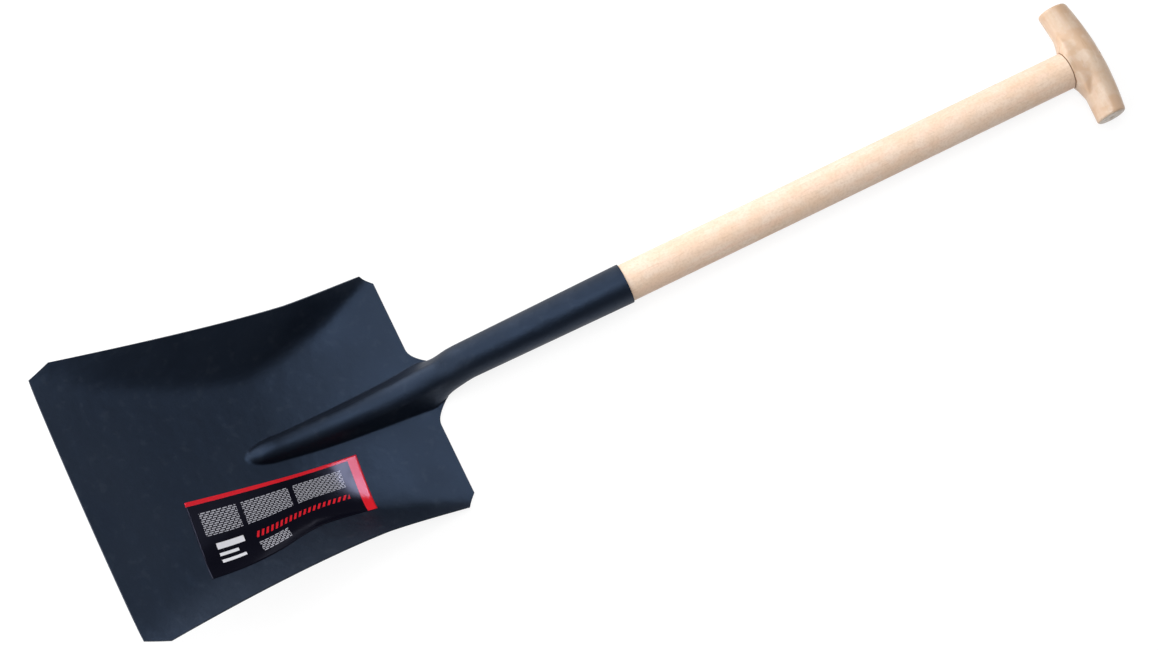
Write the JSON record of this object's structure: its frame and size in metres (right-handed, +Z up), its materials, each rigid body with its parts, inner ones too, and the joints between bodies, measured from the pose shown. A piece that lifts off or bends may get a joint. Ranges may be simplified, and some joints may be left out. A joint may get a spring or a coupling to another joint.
{
  "type": "square mouth shovel",
  "caption": "Square mouth shovel: pressed steel pan with turned up sides and a rib, rolled socket, round wooden shaft and T grip.",
  "frame": {"origin": "on the ground under the middle of the shovel, which lies on its back on the heel of its pan and its grip", "axes": "+X from the blade along the shaft to the grip, +Y across the blade, +Z up out of the blade's face"},
  "size_m": [1.0706, 0.2842, 0.1562],
  "materials": {
    "blade_paint": "satin blue-black paint over pressed steel",
    "rivet_paint": "domed steel rivet under the same satin paint",
    "shaft_wood": "smooth turned beech, thinly waxed",
    "grip_wood": "smooth shaped beech with cut end faces",
    "wedge_wood": "split hardwood, cut flush",
    "label_film": "gloss black printed film with a red band and grey bars"
  },
  "bodies": {
    "root": {"blade_and_socket": "blade_paint", "socket_rivet": "rivet_paint", "shaft": "shaft_wood", "grip": "grip_wood", "grip_wedge": "wedge_wood", "label": "label_film"}
  },
  "joints": []
}
